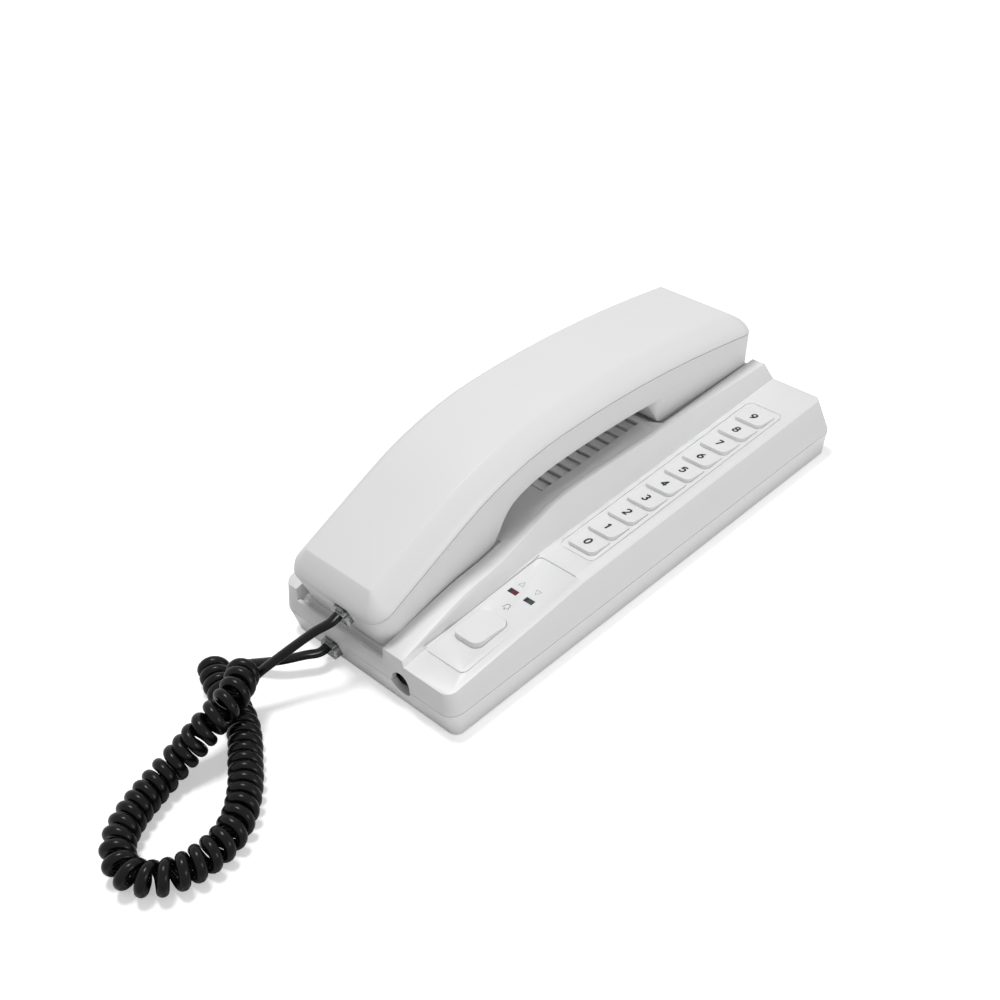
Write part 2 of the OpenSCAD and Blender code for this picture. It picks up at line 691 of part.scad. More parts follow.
seam_r = 8;
low_half = grip_half - side_lean * (shell_deep - shell_drop);
upper_form = [
    [0, grip_top - 0.7, end_a[0] - 0.7, end_b[0] - 0.7, 0.8],
    [-0.5, grip_top + 0.2, end_a[0] + 0.2, end_b[0] + 0.2, 1.2],
    [-3.6, grip_half - 3.4, end_a[1] - 4, end_b[1] - 3.8, 4.6],
    [-6, grip_half - 1, end_a[1] - 1.2, end_b[1] - 1.2, 7],
    [-shell_drop, grip_half, end_a[1], end_b[1], seam_r]
];
upper_hollow = [
    [-wall, grip_top - 1, end_a[0] - 1, end_b[0] - 1, 1],
    [-5.6, grip_half - 3.6, end_a[1] - 3.8, end_b[1] - 3.8, 4.6],
    [-shell_drop - 0.5, grip_half - wall, end_a[1] - wall, end_b[1] - wall, seam_r - wall]
];
lower_form = [
    [-shell_drop - reveal, grip_half, end_a[1], end_b[1], seam_r],
    [-shell_deep, low_half, end_a[2], end_b[2], seam_r - 1]
];
lower_hollow = [
    [-shell_drop, grip_half - wall, end_a[1] - wall, end_b[1] - wall, seam_r - wall],
    [-shell_deep, low_half - wall, end_a[2] - wall, end_b[2] - wall, seam_r - wall - 1]
];

// Underside of the handset: mouthpiece face, finger space, earpiece face
function under_arc(y) = let (r = (y < crown[0] ? arc_a : arc_b)) crown[1] - r + sqrt(pow(r - grip_depth, 2) - pow(y - crown[0], 2));
under_pts = concat(
    [[-far, mouth_face(-far)]],
    smooth([[-54, mouth_face(-54)], [-49, mouth_face(-49) + 0.3], [-46, 36], [-43, 40.8], [-39, 45], [-33, 47.8],
        [-26, under_arc(-26)], [-20, under_arc(-20)]], 3),
    [for (y = [-14:6:34]) [y, under_arc(y)]],
    smooth([[37, under_arc(37)], [40.2, 47.4], [41.4, 44.6], [43, 39], [44.6, 36], [48, ear_face(48)]], 3),
    [[far, ear_face(far)]]);
module under_yz(inset) {
    polygon(concat([for (p = under_pts) [p[0], p[1] + inset]], [[far, 90], [-far, 90]]));
}

handset_screw_at = [-62, 53];
ear_at = 78;
ear_r = 18;
mic_at = -82;
module handset_upper_shell() {
    color(white) {
        difference() {
            bar(upper_form);
            bar(upper_hollow);
        }
        // posts that take the screws from below
        intersection() {
            bar([upper_hollow[0] + [0.6, 0, 0, 0, 0], lower_hollow[1]]);
            for (y = handset_screw_at) translate([cradle_x, y, handset_post(y)]) difference() {
                cylinder(r = 3.4, h = 40);
                translate([0, 0, -1]) cylinder(r = screw_r - 0.1, h = 9);
            }
        }
    }
}
// Height at which a screw post of the upper shell meets the lower shell's boss
function handset_post(y) = y < 0 ? 41 : 44;

module handset_lower_shell() {
    color(white) difference() {
        union() {
            difference() {
                intersection() {
                    bar(lower_form);
                    along_x(-60, 60) under_yz(0);
                }
                intersection() {
                    bar(lower_hollow);
                    along_x(-60, 60) under_yz(wall);
                }
            }
            for (y = handset_screw_at) translate([cradle_x, y, y < 0 ? mouth_face(y) + 1.7 : ear_face(y) + 0.8])
                cylinder(r = 4.2, h = handset_post(y) - (y < 0 ? mouth_face(y) + 1.7 : ear_face(y) + 0.8));
            // seat under the cord's jack, and the ring that holds the earpiece
            mouth_frame() translate([plug_off - 4, wall + 1.5, 1]) cube([8, 12, jack_up - 5.6]);
            translate([cradle_x, ear_at, 0]) rotate([atan(ear_slope), 0, 0]) translate([0, 0, ear_face(ear_at) + 1]) difference() {
                cylinder(r = ear_r + 1.6, h = 5);
                translate([0, 0, 1.2]) cylinder(r = ear_r + 0.2, h = 8);
                translate([0, 0, -1]) cylinder(r = ear_r - 2, h = 8);
            }
        }
        for (y = handset_screw_at) translate([cradle_x, y, 0]) {
            cylinder(r = screw_r + 0.1, h = 60);
            cylinder(r = head_r + 0.2, h = handset_head(y));
        }
        block_corners();
        // listening holes: a centre and two rings
        for (ring = [[0, 1], [6, 6], [11.5, 12]], k = [0:ring[1] - 1])
            translate([cradle_x, ear_at, 20]) rotate(k * 360 / ring[1]) translate([ring[0], 0, 0]) cylinder(r = 1.1, h = 20, $fn = 16);
        // speaking slots
        for (x = [-6, -3, 0, 3, 6]) translate([cradle_x + x, mic_at, 25]) cube([1.2, 8, 14], center = true);
        // window for the plug
        mouth_frame() translate([-plug_wid / 2 - 0.2 + plug_off, -8, jack_up - plug_high / 2 - 0.2])
            cube([plug_wid + 0.4, 14, plug_high + 2]);
    }
}
// The corners that the two blocks turn to the finger space are rounded off
module block_corners() {
    translate([cradle_x, 0, 0]) for (s = [0, 1]) mirror([s, 0, 0]) {
        intersection() {
            translate([0, 0, 20]) linear_extrude(40) corner_cut(19.8, 41, 5.5, 4.5);
            along_x(0, 60) polygon([[28, 20], [28, under_arc(28)], [41, under_arc(41)], [48, under_arc(48)], [48, 20]]);
        }
        translate([0, 0, 20]) linear_extrude(13.2) mirror([0, 1]) corner_cut(20.3, 46, 5, 4);
    }
}
module corner_cut(x, y, across, deep) {
    polygon(concat([for (t = [0:15:90]) [x + across * sin(t), y + deep * (1 - cos(t))]], [[40, y + deep], [40, 28], [x, 28]]));
}
function handset_head(y) = y < 0 ? mouth_face(y) + 5 : ear_face(y) + 3.5;
module handset_screws() {
    color(steel) for (y = handset_screw_at) translate([cradle_x, y, handset_head(y) - 1.8]) screw(12);
}

// Frame of the mouthpiece face: Y inwards along it, Z into the handset
plug_off = 5.5;
jack_up = 11.2;
module mouth_frame() {
    translate([cradle_x, mouth_edge[0], mouth_edge[1]]) rotate([mouth_tilt, 0, 0]) children();
}
module handset_cord_jack() {
    color(black) mouth_frame() translate([plug_off, wall + 0.8, jack_up]) cord_jack();
}
module handset_plug() {
    color(clear) mouth_frame() translate([plug_off, 0, jack_up]) cord_plug();
}
module microphone() {
    color(steel) mouth_frame() translate([0, (mic_at - mouth_edge[0]) / cos(mouth_tilt), wall]) {
        difference() {
            cylinder(r = 4.9, h = 5);
            translate([0, 0, -0.5]) cylinder(r = 1.2, h = 1);
        }
    }
}
module earpiece_speaker() {
    color(black) translate([cradle_x, ear_at, 0]) rotate([atan(ear_slope), 0, 0])
        translate([0, 0, ear_face(ear_at) + 2.2]) {
            cylinder(r = ear_r, h = 3);
            cylinder(r = 11, h = 8);
        }
}
// Steel bar in the grip that gives the handset its weight
module handset_weight() {
    color(steel) intersection() {
        arch([[-shell_drop - 1.2, 9], [-grip_depth + wall - 0.1, 9]]);
        along_x(-60, 60) square([56, 200], center = true);
    }
}

// ---------- cord ----------

// Middle line of the curls, from the handset's end to the base's end
curl_line = [
    [-24.7, -145.4, 18.4], [-18.8, -151.2, 20.2], [-14.4, -158.2, 20.5], [-12.9, -165.7, 19.2],
    [-13.4, -172.8, 15.9], [-14.8, -179.2, 11.8], [-15.6, -185.9, 8.4], [-14.7, -193, 6.8],
    [-12.5, -200.2, 6.6], [-9.8, -207.2, 6.6], [-6.4, -213.6, 6.6], [-1.8, -219.2, 6.6],
    [4.6, -223, 6.6], [11.8, -223.8, 6.6], [18.6, -220.8, 6.6], [23.6, -214.8, 6.6],
    [26, -207, 6.6], [26.3, -199, 6.6], [24.6, -191.2, 6.6], [20.6, -184.2, 6.6],
    [15, -178, 6.6], [8.6, -172.4, 6.6], [1.6, -167.4, 6.6], [-5.2, -162.4, 6.6],
    [-13, -157.8, 6.6], [-21.6, -154.6, 6.6], [-31, -152.4, 6.6], [-39.5, -149.8, 6.6],
    [-48, -146, 6.6]
];
line = smooth(curl_line, 6);
steps = [for (i = [0:len(line) - 2]) norm(line[i + 1] - line[i])];
function sums(v) = [for (i = 0, s = 0; i <= len(v); s = s + (i < len(v) ? v[i] : 0), i = i + 1) s];
run = sums(steps);
// Curls are closer along the middle line where it is straight, and open out in a bend
bend = [for (i = [0:len(line) - 2])
    i == 0 ? 0 : 2 * norm(unit(line[i + 1] - line[i]) - unit(line[i] - line[i - 1])) / (steps[i] + steps[i - 1])];
turns = sums([for (i = [0:len(steps) - 1]) steps[i] * (1 - min(0.6, curl_r * bend[i])) / curl_pitch]);
all_turns = floor(turns[len(turns) - 1]);
turn_table = [for (i = [0:len(turns) - 1]) [turns[i], run[i]]];
run_table = [for (k = [0:2]) [for (i = [0:len(line) - 1]) [run[i], line[i][k]]]];
function place(s) = [for (k = [0:2]) lookup(s, run_table[k])];
up = [0, 0, 1];
first_phase = -112.5;
rings = all_turns * 8 + 1;
function ring_at(i) = let (
        s = lookup(i / rings * turns[len(turns) - 1], turn_table),
        c = place(s), t = unit(place(s + 1.5) - place(s - 1.5)),
        side = unit(cross(t, up)), top = cross(side, t), a = first_phase + 45 * i)
    [c + curl_r * (cos(a) * side + sin(a) * top), cos(a) * side + sin(a) * top];
helix = [for (i = [0:rings]) ring_at(i)];
curls = [for (h = helix) h[0]];
// Straight tails, one cord thickness long, at both ends of the curls
tail_a = unit(unit(curls[0] - curls[1]) + [0, 0.3, 0.7]);
tail_b = unit(unit(curls[rings] - curls[rings - 1]) + [0.3, 0, 0.1]);
tip_a = curls[0] + tail_a * 1.2 * cord_d;
tip_b = curls[rings] + tail_b * 1.2 * cord_d;
curl_path = concat([tip_a], curls, [tip_b]);
curl_out = concat([helix[0][1]], [for (h = helix) h[1]], [helix[rings][1]]);
least = min([for (i = [0:rings - 4]) min([for (j = [i + 4:rings]) norm(curls[j] - curls[i])])]);
echo(curls = all_turns, least_gap = least - cord_d, cord_run = run[len(run) - 1]);

module curly_cord() {
    color(black) tube(curl_path, 6, cord_d / 2, curl_out);
}

// Leads from the plugs to the curls
enter_up = jack_up + 1.2;
plug_a = [cradle_x + plug_off, mouth_edge[0] - plug_out * cos(mouth_tilt) - enter_up * sin(mouth_tilt),
    mouth_edge[1] - plug_out * sin(mouth_tilt) + enter_up * cos(mouth_tilt)];
plug_b = [jack_x, cover_end - plug_out, base_plug_z + 1.2];
out_a = [0, -cos(mouth_tilt), -sin(mouth_tilt)];
lead_a = [plug_a, plug_a + out_a * cord_d, [-11.4, -120.6, 27.2], [-15.2, -128, 23.3],
    tip_a + tail_a * 5, tip_a];
lead_b = [plug_b, plug_b - [0, cord_d, 0], [-23.4, -120.6, 8], [-30.2, -128, 6.6],
    tip_b + tail_b * 5, tip_b];
module lead(route) {
    pts = concat([route[0]], [for (p = smooth([for (i = [1:len(route) - 2]) route[i]], 3)) p], [route[len(route) - 1]]);
    tube(pts, 8, cord_d / 2, [for (p = pts) up]);
}
module handset_lead() {
    color(black) lead(lead_a);
}
module base_lead() {
    color(black) lead(lead_b);
}

front_housing();
rear_cover();
rubber_feet();
housing_screws();
circuit_board();
keypad_mat();
key_0();
key_1();
key_2();
key_3();
key_4();
key_5();
key_6();
key_7();
key_8();
key_9();
call_button();
call_button_pad();
led_transmit();
led_receive();
ringer_speaker();
hook_plunger();
hook_spring();
hook_switch();
dc_jack();
base_cord_jack();
base_plug();
handset_upper_shell();
handset_lower_shell();
handset_screws();
handset_weight();
earpiece_speaker();
microphone();
handset_cord_jack();
handset_plug();
handset_lead();
curly_cord();
base_lead();
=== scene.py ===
import math

import bmesh
import bpy
from mathutils import Matrix, Vector


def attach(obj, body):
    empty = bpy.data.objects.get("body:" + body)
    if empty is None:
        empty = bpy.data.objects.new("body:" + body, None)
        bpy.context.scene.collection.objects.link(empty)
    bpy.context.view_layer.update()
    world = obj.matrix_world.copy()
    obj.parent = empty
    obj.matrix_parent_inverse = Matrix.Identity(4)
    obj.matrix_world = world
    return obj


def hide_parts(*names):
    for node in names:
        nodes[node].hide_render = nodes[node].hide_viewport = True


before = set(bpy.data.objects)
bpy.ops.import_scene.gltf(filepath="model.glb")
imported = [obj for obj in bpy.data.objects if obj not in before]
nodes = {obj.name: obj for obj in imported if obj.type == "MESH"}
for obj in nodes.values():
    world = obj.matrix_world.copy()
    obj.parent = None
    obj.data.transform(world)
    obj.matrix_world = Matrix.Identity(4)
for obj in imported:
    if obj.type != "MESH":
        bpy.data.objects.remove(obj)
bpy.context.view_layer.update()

# ---------------------------------------------------------------- camera
# Stands to the right of the mouthpiece end, a little over half a metre off,
# and looks down along the telephone.
looking = Vector((-0.616, 0.493, -0.614)).normalized()
sideways = looking.cross(Vector((-0.382, 0.495, 0.780))).normalized()
upwards = sideways.cross(looking)
facing = Matrix((sideways, upwards, -looking)).transposed().to_euler()
bpy.ops.object.camera_add(location=(0.3725, -0.3324, 0.4113), rotation=facing)
camera = bpy.context.object
camera.data.sensor_width = 36
camera.data.lens = 56.71
bpy.context.scene.camera = camera

# ---------------------------------------------------------------- curly cord
# Four fine wires in a glossy black jacket, wound into curls and set with heat.
# Its two ends stay straight and flat, and run into the modular plugs.
mm = 0.001
cord_thick = 3.95
curl_radius = 4.5
curl_pitch = 4.5
tail = 1.2 * cord_thick
plug_out = 3.6
mouth_lean = math.radians(13.3)

# The middle line of the curls, from the handset's end, up over the crossing, down
# to the floor, round the loop and back to the base's end.
curl_line = [
    (-24.7, -145.4, 18.4), (-18.8, -151.2, 20.2), (-14.4, -158.2, 20.5), (-12.9, -165.7, 19.2),
    (-13.4, -172.8, 15.9), (-14.8, -179.2, 11.8), (-15.6, -185.9, 8.4), (-14.7, -193, 6.8),
    (-12.5, -200.2, 6.6), (-9.8, -207.2, 6.6), (-6.4, -213.6, 6.6), (-1.8, -219.2, 6.6),
    (4.6, -223, 6.6), (11.8, -223.8, 6.6), (18.6, -220.8, 6.6), (23.6, -214.8, 6.6),
    (26, -207, 6.6), (26.3, -199, 6.6), (24.6, -191.2, 6.6), (20.6, -184.2, 6.6),
    (15, -178, 6.6), (8.6, -172.4, 6.6), (1.6, -167.4, 6.6), (-5.2, -162.4, 6.6),
    (-13, -157.8, 6.6), (-21.6, -154.6, 6.6), (-31, -152.4, 6.6), (-39.5, -149.8, 6.6),
    (-48, -146, 6.6),
]


def through(points, n):
    """A smooth line through points, with n steps between each two."""
    line = []
    for i in range(len(points) - 1):
        a, b = points[max(i - 1, 0)], points[i]
        c, d = points[i + 1], points[min(i + 2, len(points) - 1)]
        for k in range(n):
            t = k / n
            line.append(0.5 * (2 * b + (c - a) * t + (2 * a - 5 * b + 4 * c - d) * t * t
                               + (3 * b - a - 3 * c + d) * t ** 3))
    return line + [points[-1]]


def sums(values):
    """Running totals, from nought."""
    out = [0.0]
    for v in values:
        out.append(out[-1] + v)
    return out


def looked_up(value, keys, found):
    """The value of a table at a place between its rows."""
    if value <= keys[0]:
        return found[0]
    for k in range(len(keys) - 1):
        if value <= keys[k + 1]:
            share = (value - keys[k]) / max(keys[k + 1] - keys[k], 1e-9)
            return found[k] + (found[k + 1] - found[k]) * share
    return found[-1]


steps_between = 6
middle = through([Vector(p) for p in curl_line], steps_between)
steps = [(b - a).length for a, b in zip(middle, middle[1:])]
run = sums(steps)
ways = [(b - a).normalized() for a, b in zip(middle, middle[1:])]
bends = [0] + [2 * (b - a).length / (s + t)
               for a, b, s, t in zip(ways, ways[1:], steps[1:], steps)]
# The pitch is measured on the inner side of a bend, so the curls open out on its
# outer side.
widest_opening = 0.6
turns = sums([s * (1 - min(widest_opening, curl_radius * b)) / curl_pitch
              for s, b in zip(steps, bends)])
rough_steps, fine_steps = 8, 24
wound = math.floor(turns[-1]) + 1 / rough_steps
first_angle = math.radians(-112.5)
half_window = 1.5
upright = Vector((0, 0, 1))


def on_middle(turned):
    """The place on the middle line after so many turns, and the line's way there."""
    s = looked_up(turned * turns[-1] / wound, turns, run)
    before = looked_up(s - half_window, run, middle)
    after = looked_up(s + half_window, run, middle)
    return looked_up(s, run, middle), after - before


def curl_point(turned):
    """The place on the winding after so many turns."""
    centre, along = on_middle(turned)
    along.normalize()
    across = along.cross(upright).normalized()
    angle = first_angle + math.tau * turned
    out = math.cos(angle) * across + math.sin(angle) * across.cross(along)
    return centre + curl_radius * out


curls = [curl_point(i / rough_steps) for i in range(round(wound * rough_steps) + 1)]
tail_a = ((curls[0] - curls[1]).normalized() + Vector((0, 0.3, 0.7))).normalized()
tail_b = ((curls[-1] - curls[-2]).normalized() + Vector((0.3, 0, 0.1))).normalized()
tip_a = curls[0] + tail_a * tail
tip_b = curls[-1] + tail_b * tail
out_a = Vector((0, -math.cos(mouth_lean), -math.sin(mouth_lean)))
mouth_low_edge = Vector((-8.35, -104.5, 19))
jack_above_edge = 12.4 * Vector((0, -math.sin(mouth_lean), math.cos(mouth_lean)))
plug_a = mouth_low_edge + jack_above_edge + plug_out * out_a
plug_b = Vector((-20, -112, 8))
bend_in = 5
lead_a = [plug_a, plug_a + out_a * cord_thick,
          Vector((-11.4, -120.6, 27.2)), Vector((-15.2, -128, 23.3)),
          tip_a + tail_a * bend_in, tip_a]
lead_b = [plug_b, plug_b + Vector((0, -cord_thick, 0)),
          Vector((-23.4, -120.6, 8)), Vector((-30.2, -128, 6.6)),
          tip_b + tail_b * bend_in, tip_b]
fine_curls = [curl_point(i / fine_steps) for i in range(round(wound * fine_steps) + 1)]
start_run = through(lead_a + [curls[0]], rough_steps)[:-1]
end_run = through(lead_b + [curls[-1]], rough_steps)[:-1]
route = start_run + fine_curls + end_run[::-1]

# The jacket is oval. In the curls its broad side lies along the winding, and in
# the leads it lies level. It starts to flatten four rings past the curls, and is
# flat after twelve more.
sides = 14
half_broad, half_thin = 2.22, 1.95
lead_half_broad, lead_half_thin = 2.35, 1.25
rings_round, rings_flattening = 4, 12
bpy.ops.object.select_all(action="DESELECT")
shell = bmesh.new()
rings = []
side = Vector((1, 0, 0))
for i, point in enumerate(route):
    along = (route[min(i + 1, len(route) - 1)] - route[max(i - 1, 0)]).normalized()
    side = (side - along * side.dot(along)).normalized()
    over = along.cross(side)
    curl = i - len(start_run)
    axis = on_middle(min(max(curl, 0), len(fine_curls) - 1) / fine_steps)[1]
    axis = (axis - along * axis.dot(along)).normalized()
    level = along.cross(upright).normalized()
    if level.dot(axis) < 0:
        level = -level
    away = max(-curl, curl - len(fine_curls), 0)
    flat = min(1, max(0, away - rings_round) / rings_flattening)
    broad = (axis * (1 - flat) + level * flat).normalized()
    thin = broad.cross(along).normalized()
    wide = half_broad + (lead_half_broad - half_broad) * flat
    high = half_thin + (lead_half_thin - half_thin) * flat
    ring = []
    for k in range(sides):
        way = math.cos(k * math.tau / sides) * side + math.sin(k * math.tau / sides) * over
        place = point + broad * way.dot(broad) * wide + thin * way.dot(thin) * high
        ring.append(shell.verts.new(place * mm))
    rings.append(ring)
for one, two in zip(rings, rings[1:]):
    for k in range(sides):
        shell.faces.new((one[k], one[(k + 1) % sides], two[(k + 1) % sides], two[k]))
shell.faces.new(rings[0][::-1])
shell.faces.new(rings[-1])
bmesh.ops.recalc_face_normals(shell, faces=shell.faces)
mesh = bpy.data.meshes.new("handset_cord")
shell.to_mesh(mesh)
shell.free()
cord = bpy.data.objects.new("handset_cord", mesh)
bpy.context.scene.collection.objects.link(cord)
bpy.context.view_layer.objects.active = cord
cord.select_set(True)
bpy.ops.object.shade_smooth()


class Wire:
    """A value inside a material, so that the sums behind it read as plain arithmetic."""

    def __init__(self, tree, socket=None):
        self.tree, self.socket = tree, socket

    def node(self, kind, settings=None, sockets=None, out=0):
        made = self.tree.nodes.new(kind)
        for name, value in (settings or {}).items():
            setattr(made, name, value)
        for name, value in (sockets or {}).items():
            if isinstance(value, Wire):
                self.tree.links.new(value.socket, made.inputs[name])
            else:
                made.inputs[name].default_value = value
        return Wire(self.tree, made.outputs[out]) if len(made.outputs) else made

    def maths(self, operation, first, second):
        return self.node("ShaderNodeMath", {"operation": operation}, {0: first, 1: second})

    def __add__(self, other):
        return self.maths("ADD", self, other)

    __radd__ = __add__

    def __sub__(self, other):
        return self.maths("SUBTRACT", self, other)

    def __rsub__(self, other):
        return self.maths("SUBTRACT", other, self)

    def __mul__(self, other):
        return self.maths("MULTIPLY", self, other)

    __rmul__ = __mul__

    def __gt__(self, other):
        return self.maths("GREATER_THAN", self, other)


def blank(name):
    """An empty material, and the place on the piece to draw it from."""
    material = bpy.data.materials.new(name)
    material.use_nodes = True
    material.node_tree.nodes.clear()
    return material, Wire(material.node_tree).node("ShaderNodeTexCoord", {}, {}, "Object")


def speckle(at, scale, detail):
    """Even speckle, so many times a metre."""
    return at.node("ShaderNodeTexNoise", {}, {"Vector": at, "Scale": scale, "Detail": detail})


def between(factor, low, high):
    """One colour passing into another."""
    return factor.node("ShaderNodeMix", {"data_type": "RGBA"}, {0: factor, 6: low, 7: high}, 2)


def grey(v):
    return (v, v, v, 1.0)


def surface(colour, rough, bump, depth, **fixed):
    """The shader of a finish, with what stays the same all over set on its own sockets."""
    normal = bump.node("ShaderNodeBump", {}, {"Strength": 1.0, "Distance": depth, "Height": bump})
    sockets = {"Base Color": colour, "Roughness": rough, "Normal": normal}
    for name, value in fixed.items():
        sockets[name.replace("_", " ")] = value
    shader = bump.node("ShaderNodeBsdfPrincipled", {}, sockets)
    bump.node("ShaderNodeOutputMaterial", {}, {"Surface": shader})


jacket, at = blank("black_cord_jacket")
ripple = speckle(at, 900, 3)
smear = speckle(at, 120, 4)
surface(between(smear, grey(0.002), (0.006, 0.006, 0.007, 1)), 0.18 + smear * 0.12,
        ripple, 2e-5, Specular_IOR_Level=0.16)
cord.data.materials.append(jacket)

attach(cord, "base")
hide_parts("handset_lead", "curly_cord", "base_lead")
[tuple(p * mm) for p in route]

# ---------------------------------------------------------------- mouldings
# Base, rear cover and both handset shells are injection-moulded in white
# plastic. The tool is spark-eroded, which leaves a fine even grain, and every
# outer edge has a small radius.


def moulded(name, tint, rough, grain=2600, depth=9e-6):
    """Moulded plastic: fine grain, and a gloss and tint that wander a little."""
    material, at = blank(name)
    wander = speckle(at, 35, 4)
    spark = speckle(at, grain, 2)
    low = tuple(c * 0.985 for c in tint) + (1,)
    high = tuple(c * 1.01 for c in tint) + (1,)
    surface(between(wander, low, high), rough - 0.05 + wander * 0.1, spark, depth)
    return material


white = moulded("white_moulding", (0.78, 0.78, 0.785), 0.36)
smooth_below = math.radians(38)


def coat(mesh, material):
    """Gives a mesh one finish all over."""
    mesh.materials.clear()
    mesh.materials.append(material)
    for face in mesh.polygons:
        face.material_index = 0


def softened(node, name, body, material, width, angle=24, round_steps=2):
    """A merged copy of a moulding that stands for the node, with its edges rounded."""
    bpy.ops.object.select_all(action="DESELECT")
    piece = bpy.data.objects.new(name, nodes[node].data.copy())
    bpy.context.scene.collection.objects.link(piece)
    bpy.context.view_layer.objects.active = piece
    piece.select_set(True)
    bpy.ops.mesh.customdata_custom_splitnormals_clear()
    bpy.ops.object.mode_set(mode="EDIT")
    bpy.ops.mesh.select_all(action="SELECT")
    bpy.ops.mesh.remove_doubles(threshold=2e-6)
    bpy.ops.mesh.dissolve_limited(angle_limit=math.radians(0.6))
    bpy.ops.object.mode_set(mode="OBJECT")
    soft = piece.modifiers.new("edges", "BEVEL")
    soft.width, soft.segments = width * mm, round_steps
    soft.limit_method, soft.angle_limit = "ANGLE", math.radians(angle)
    soft.use_clamp_overlap = True
    bpy.ops.object.modifier_apply(modifier="edges")
    bpy.ops.object.shade_smooth_by_angle(angle=smooth_below)
    coat(piece.data, material)
    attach(piece, body)
    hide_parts(node)


outer_edge, hidden_edge = 0.35, 0.3
softened("front_housing", "base_top", "base", white, outer_edge)
softened("rear_cover", "base_back", "base", white, hidden_edge)
softened("handset_upper_shell", "handset_top", "handset", white, outer_edge,
         angle=16, round_steps=3)
softened("handset_lower_shell", "handset_under", "handset", white, hidden_edge)
coat(nodes["hook_plunger"].data, white)

# ---------------------------------------------------------------- keys
# Ten loose key caps, each in a window of its own, high at its lower edge and
# almost flush at its upper one, with a digit printed in black on the slope.
cap_white = moulded("key_moulding", (0.80, 0.80, 0.805), 0.34)
ink, at = blank("black_ink")
speck = speckle(at, 5000, 2)
surface(between(speck, grey(0.002), grey(0.006)), 0.5 + speck * 0.2, speck, 4e-6)


deck_low_edge, deck_low_height = -37.5, 26.3
deck_rise = 1.7 / 145.5


def deck_height(y):
    """Height of the sloping key deck above the wall."""
    return deck_low_height + deck_rise * (y - deck_low_edge)


def arc(cx, cy, rx, ry, start, end):
    """Points on part of an oval, with its angles in degrees."""
    angles = [math.radians(start + (end - start) * k / 12) for k in range(13)]
    return [(cx + rx * math.cos(t), cy + ry * math.sin(t)) for t in angles]


# Strokes of the digits from 0 to 9, each about 2.2 wide and 3.6 high. A sharp
# corner starts a new stroke.
strokes = [
    [arc(0, 0, 1.05, 1.8, 90, 450)],
    [[(0.15, 1.8), (0.15, -1.8)], [(0.15, 1.8), (-0.8, 0.95)]],
    [arc(0, 0.8, 1.05, 1.0, 165, -20) + [(0.75, 0.05), (-1.05, -1.8)],
     [(-1.05, -1.8), (1.1, -1.8)]],
    [arc(-0.05, 0.88, 1.0, 0.92, 150, -90), arc(-0.05, -0.86, 1.08, 0.94, 90, -150)],
    [[(0.5, -1.8), (0.5, 1.8)], [(0.5, 1.8), (-1.2, -0.8)], [(-1.2, -0.8), (1.25, -0.8)]],
    [[(1.0, 1.8), (-0.75, 1.8)], [(-0.75, 1.8), (-0.92, 0.1)],
     arc(0, -0.6, 1.08, 1.2, 145, -150)],
    [[(0.65, 1.8)] + arc(0.45, -0.6, 1.5, 2.0, 125, 180), arc(0, -0.7, 1.05, 1.1, 0, 360)],
    [[(-1.05, 1.8), (1.05, 1.8)], [(1.05, 1.8), (-0.25, -1.8)]],
    [arc(0, 0.92, 0.9, 0.88, 0, 360), arc(0, -0.86, 1.08, 0.94, 0, 360)],
    [[(-0.65, -1.8)] + arc(-0.45, 0.6, 1.5, 2.0, -55, 0), arc(0, 0.7, 1.05, 1.1, 0, 360)],
]


stroke_flatness = 0.05


def printed(name, lines, half, place, lean, turned, material, body):
    """A sign printed as strokes on a leaning surface, hardly thicker than its ink."""
    drawn = bpy.data.curves.new(name, "CURVE")
    drawn.dimensions, drawn.bevel_depth, drawn.bevel_resolution = "3D", half * mm, 1
    drawn.use_fill_caps = True
    for points in lines:
        closed = math.dist(points[0], points[-1]) < 1e-6
        if closed:
            points = points[:-1]
        line = drawn.splines.new("POLY")
        line.points.add(len(points) - 1)
        line.use_cyclic_u = closed
        for spot, (x, y) in zip(line.points, points):
            spot.co = (x * mm, y * mm, 0, 1)
    sign = bpy.data.objects.new(name, drawn)
    bpy.context.scene.collection.objects.link(sign)
    bpy.ops.object.select_all(action="DESELECT")
    bpy.context.view_layer.objects.active = sign
    sign.select_set(True)
    bpy.ops.object.convert(target="MESH")
    sign = bpy.context.object
    sign.scale = (1, 1, stroke_flatness)
    bpy.ops.object.transform_apply(location=False, rotation=False, scale=True)
    leaning = Matrix.Rotation(lean, 3, "X") @ Matrix.Rotation(turned, 3, "Z")
    sign.rotation_euler = leaning.to_euler()
    sign.location = [c * mm for c in place]
    bpy.ops.object.transform_apply(location=True, rotation=True, scale=True)
    sign.name = name
    sign.data.materials.append(material)
    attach(sign, body)


first_key, key_spacing, key_line = -21.05, 11, 32.6
cap_edge, cap_edge_from = 0.28, 30
cap_rise, above_middle = 0.975, 0.2
cap_slant = math.atan(-1.45 / 9.9)
half_stroke, ink_height = 0.42, 0.04
for i in range(10):
    y = first_key + key_spacing * i
    key = f"key_{i}"
    softened(key, f"key_cap_{i}", key, cap_white, cap_edge, cap_edge_from, 3)
    place = (key_line, y + above_middle, deck_height(y) + cap_rise + ink_height)
    printed(f"digit_{i}", strokes[i], half_stroke, place, cap_slant, 0, ink, key)

# ---------------------------------------------------------------- call button
# One large cap of the same plastic as the keys, with rounder edges. It lies loose
# on a rubber pad, in an opening of the raised plate.
call_edge = 0.5
softened("call_button", "call_cap", "call_button", cap_white, call_edge,
         cap_edge_from, 3)

# ---------------------------------------------------------------- lights in the plate
# Two small diffusers, one red and one green, moulded in tinted plastic with fine
# ribs on the inside. They are pushed up into the plate, and dark while they are off.
# Width in mm of the painted shade at the left edge of each diffuser.
painted_shade_width = 1.5


